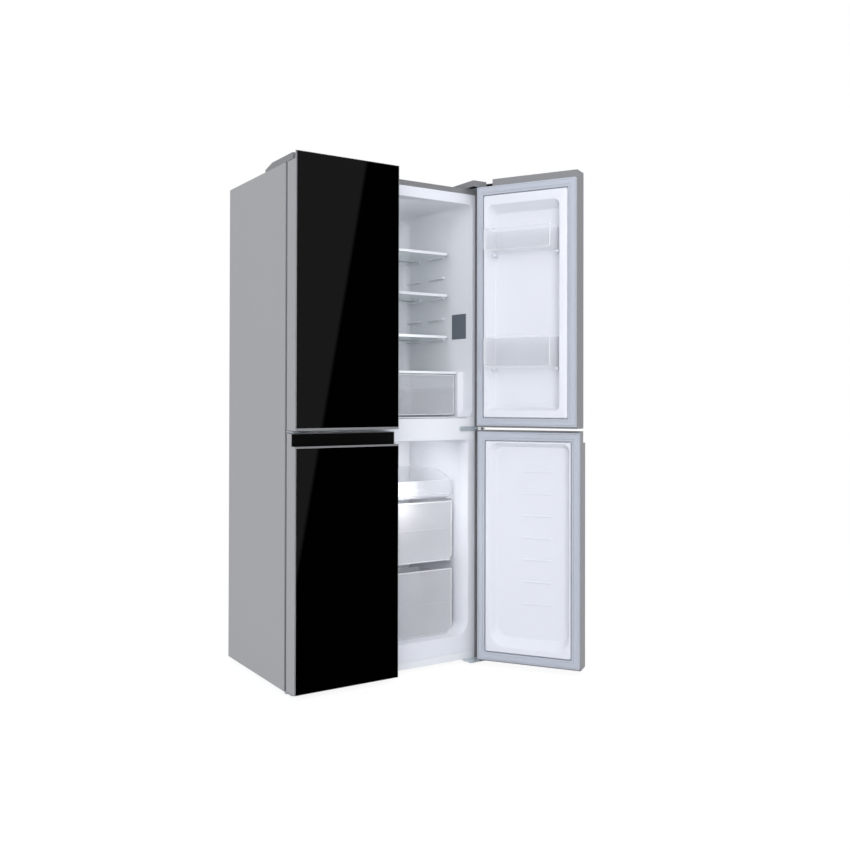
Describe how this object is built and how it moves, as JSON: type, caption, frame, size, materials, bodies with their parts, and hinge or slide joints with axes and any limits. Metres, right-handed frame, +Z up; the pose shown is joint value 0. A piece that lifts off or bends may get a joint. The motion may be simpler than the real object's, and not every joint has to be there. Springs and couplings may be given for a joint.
{
  "type": "four-door refrigerator",
  "caption": "Free-standing refrigerator with black glass French doors over paired freezer doors, grey steel sides, white lined compartments, glass shelves, bins and clear drawers.",
  "frame": {"origin": "on the floor, below the middle of the cabinet's width and depth", "axes": "+Z up, +Y towards the back, +X to the right of someone facing the doors"},
  "size_m": [1.0284, 0.9029, 1.8],
  "materials": {
    "painted_steel": "satin silver-grey paint",
    "zinc_steel": "zinc plated",
    "foam": null,
    "white_liner": "vacuum-formed, semi-gloss",
    "white_trim": "moulded, semi-gloss",
    "lamp_cover": "diffusing",
    "clear_glass": "clear, polished edge",
    "black_glass": "black back-painted glass, mirror smooth",
    "clear_plastic": "clear polystyrene",
    "seal_rubber": "soft matt PVC",
    "black_plastic": "fine grain",
    "grey_plastic": "fine grain",
    "coil_aluminium": "mill finish",
    "compressor_black": "satin black enamel"
  },
  "bodies": {
    "cabinet": {"back_panel": "zinc_steel", "base_pan": "zinc_steel", "cabinet_foam": "foam", "cabinet_shell": "painted_steel", "ceiling_lamp": "lamp_cover", "compressor": "compressor_black", "compressor_cover": "zinc_steel", "compressor_grommets": "seal_rubber", "crisper_cover": "white_trim", "door_hinges": "zinc_steel", "evaporator": "coil_aluminium", "freezer_air_ducts": "white_trim", "freezer_liners": "white_liner", "fridge_air_duct": "white_trim", "fridge_liner": "white_liner", "glass_shelves": "clear_glass", "hinge_covers": "grey_plastic", "hinge_screws": "zinc_steel", "left_crisper": "clear_plastic", "left_freezer_drawers": "clear_plastic", "mullion_rail": "white_trim", "roller_brackets": "zinc_steel", "shelf_trims": "white_trim", "toe_strip": "white_trim"},
    "left_upper_door": {"left_upper_foam": "foam", "left_upper_frame": "painted_steel", "left_upper_gasket": "seal_rubber", "left_upper_glass": "black_glass", "left_upper_liner": "white_liner"},
    "right_upper_door": {"right_upper_foam": "foam", "right_upper_frame": "painted_steel", "right_upper_gasket": "seal_rubber", "right_upper_glass": "black_glass", "right_upper_liner": "white_liner"},
    "left_lower_door": {"left_lower_foam": "foam", "left_lower_frame": "painted_steel", "left_lower_gasket": "seal_rubber", "left_lower_glass": "black_glass", "left_lower_grip": "black_plastic", "left_lower_liner": "white_liner"},
    "right_lower_door": {"right_lower_foam": "foam", "right_lower_frame": "painted_steel", "right_lower_gasket": "seal_rubber", "right_lower_glass": "black_glass", "right_lower_grip": "black_plastic", "right_lower_liner": "white_liner"},
    "flip_mullion": {"flip_mullion": "grey_plastic"},
    "left_top_bin": {"left_top_bin": "clear_plastic"},
    "left_egg_bin": {"left_egg_bin": "clear_plastic"},
    "right_top_bin": {"right_top_bin": "clear_plastic"},
    "right_egg_bin": {"right_egg_bin": "clear_plastic"},
    "right_crisper": {"right_crisper": "clear_plastic"},
    "right_freezer_tray": {"right_freezer_tray": "clear_plastic"},
    "right_upper_drawer": {"right_upper_drawer": "clear_plastic"},
    "right_lower_drawer": {"right_lower_drawer": "clear_plastic"},
    "right_foot": {"right_foot": "black_plastic"},
    "left_foot": {"left_foot": "black_plastic"},
    "right_roller": {"right_roller": "black_plastic"},
    "left_roller": {"left_roller": "black_plastic"},
    "evaporator_fan": {"evaporator_fan": "white_trim"}
  },
  "joints": [
    {"name": "left_upper_door_swing", "type": "hinge", "parent": "cabinet", "child": "left_upper_door", "pos_m": [-0.3844, -0.2975, 1.3], "axis": [0, 0, -1], "range_deg": [0, 130]},
    {"name": "right_upper_door_swing", "type": "hinge", "parent": "cabinet", "child": "right_upper_door", "pos_m": [0.3844, -0.2975, 1.3], "axis": [0, 0, 1], "range_deg": [-119, 11]},
    {"name": "left_lower_door_swing", "type": "hinge", "parent": "cabinet", "child": "left_lower_door", "pos_m": [-0.3844, -0.2975, 0.44], "axis": [0, 0, -1], "range_deg": [0, 130]},
    {"name": "right_lower_door_swing", "type": "hinge", "parent": "cabinet", "child": "right_lower_door", "pos_m": [0.3844, -0.2975, 0.44], "axis": [0, 0, 1], "range_deg": [-124.5, 5.5]},
    {"name": "flip_mullion_fold", "type": "hinge", "parent": "left_upper_door", "child": "flip_mullion", "pos_m": [-0.031, -0.248, 1.318], "axis": [0, 0, 1], "range_deg": [0, 90]},
    {"name": "left_top_bin_lift", "type": "slide", "parent": "left_upper_door", "child": "left_top_bin", "axis": [0, 0, 1], "range_m": [0, 0.04]},
    {"name": "left_egg_bin_lift", "type": "slide", "parent": "left_upper_door", "child": "left_egg_bin", "axis": [0, 0, 1], "range_m": [0, 0.04]},
    {"name": "right_top_bin_lift", "type": "slide", "parent": "right_upper_door", "child": "right_top_bin", "axis": [0, 0, 1], "range_m": [0, 0.04]},
    {"name": "right_egg_bin_lift", "type": "slide", "parent": "right_upper_door", "child": "right_egg_bin", "axis": [0, 0, 1], "range_m": [0, 0.04]},
    {"name": "right_crisper_slide", "type": "slide", "parent": "cabinet", "child": "right_crisper", "axis": [0, -1, 0], "range_m": [0, 0.24]},
    {"name": "right_freezer_tray_slide", "type": "slide", "parent": "cabinet", "child": "right_freezer_tray", "axis": [0, -1, 0], "range_m": [0, 0.24]},
    {"name": "right_upper_drawer_slide", "type": "slide", "parent": "cabinet", "child": "right_upper_drawer", "axis": [0, -1, 0], "range_m": [0, 0.24]},
    {"name": "right_lower_drawer_slide", "type": "slide", "parent": "cabinet", "child": "right_lower_drawer", "axis": [0, -1, 0], "range_m": [0, 0.17]},
    {"name": "right_foot_turn", "type": "hinge", "parent": "cabinet", "child": "right_foot", "pos_m": [0.363, -0.2345, 0.004], "axis": [0, 0, 1], "continuous": true},
    {"name": "right_roller_spin", "type": "hinge", "parent": "cabinet", "child": "right_roller", "pos_m": [0.335, 0.2185, 0.0125], "axis": [1, 0, 0], "continuous": true},
    {"name": "left_foot_turn", "type": "hinge", "parent": "cabinet", "child": "left_foot", "pos_m": [-0.363, -0.2345, 0.004], "axis": [0, 0, 1], "continuous": true},
    {"name": "left_roller_spin", "type": "hinge", "parent": "cabinet", "child": "left_roller", "pos_m": [-0.335, 0.2185, 0.0125], "axis": [1, 0, 0], "continuous": true},
    {"name": "evaporator_fan_spin", "type": "hinge", "parent": "cabinet", "child": "evaporator_fan", "pos_m": [0.1805, 0.1395, 0.735], "axis": [0, 1, 0], "continuous": true}
  ]
}
